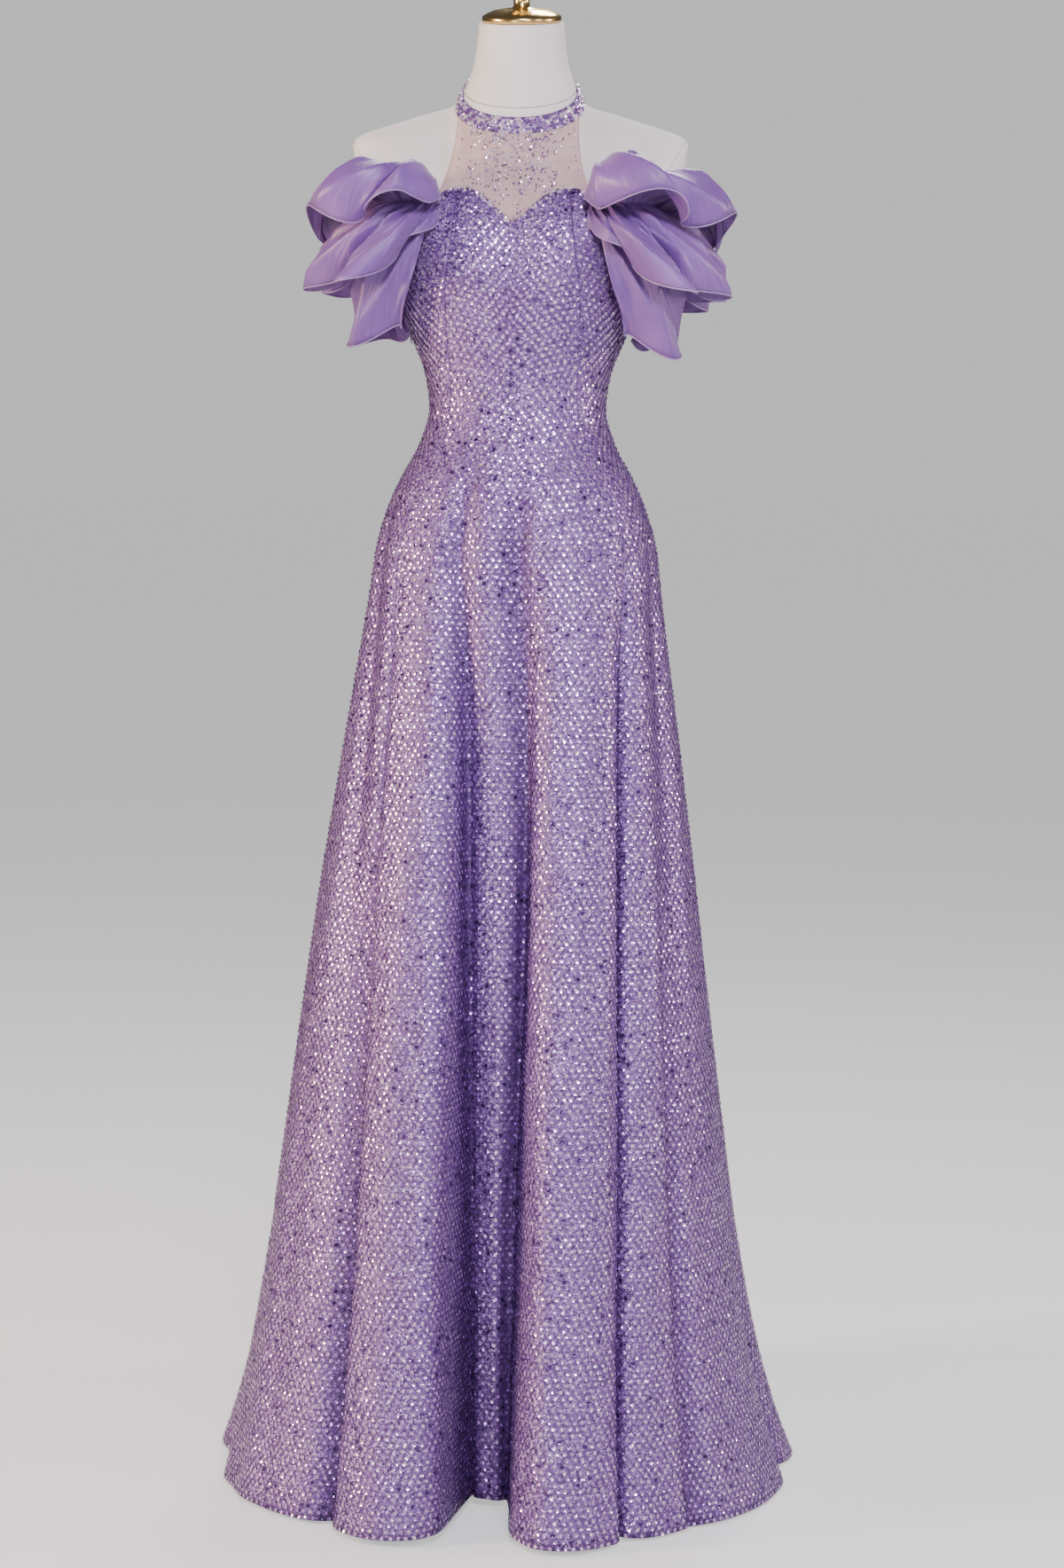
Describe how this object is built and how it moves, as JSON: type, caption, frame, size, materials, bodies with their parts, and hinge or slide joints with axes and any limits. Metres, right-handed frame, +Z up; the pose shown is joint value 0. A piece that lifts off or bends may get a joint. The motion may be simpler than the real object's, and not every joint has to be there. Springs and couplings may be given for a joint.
{
  "type": "evening gown on dress form",
  "caption": "Floor-length sequinned evening gown with halter collar, sheer yoke and ruffle sleeves, standing on a dress form.",
  "frame": {"origin": "centre of the stand base's underside, on the floor", "axes": "+Z up; the front of the gown faces -Y; +X is the side of the left sleeve as worn"},
  "size_m": [0.6629, 0.6672, 1.6904],
  "materials": {
    "sequin_cloth": "lilac cloth covered in round sequins",
    "sheer_mesh": "skin-coloured sheer mesh with scattered beads",
    "beaded_band": "band covered in small faceted beads",
    "satin_organza": "satin organza with a soft sheen and rolled edges",
    "form_linen": "smooth off-white linen cover",
    "gold_metal": "polished",
    "stand_steel": "white enamel",
    "zip_metal": "lilac lacquered"
  },
  "bodies": {
    "root": {"panel_centre_front": "sequin_cloth", "panel_side_front_left": "sequin_cloth", "panel_side_front_right": "sequin_cloth", "panel_side_back_left": "sequin_cloth", "panel_side_back_right": "sequin_cloth", "panel_centre_back_left": "sequin_cloth", "panel_centre_back_right": "sequin_cloth", "zip_tape": "sequin_cloth", "yoke": "sheer_mesh", "collar_band": "beaded_band", "collar_button": "beaded_band", "sleeve_ruffle_left": "satin_organza", "sleeve_ruffle_right": "satin_organza", "sleeve_flounce_left": "satin_organza", "sleeve_flounce_right": "satin_organza", "form_torso": "form_linen", "form_shoulder_cap_left": "form_linen", "form_shoulder_cap_right": "form_linen", "form_neck_cap": "gold_metal", "form_pole": "stand_steel", "form_base": "stand_steel", "zip_slider": "zip_metal"},
    "pull": {"zip_pull": "zip_metal"}
  },
  "joints": [
    {"name": "zip_pull_hinge", "type": "hinge", "parent": "root", "child": "pull", "pos_m": [0, 0.1068, 1.3109], "axis": [1, 0, 0], "range_deg": [0, 150]}
  ]
}
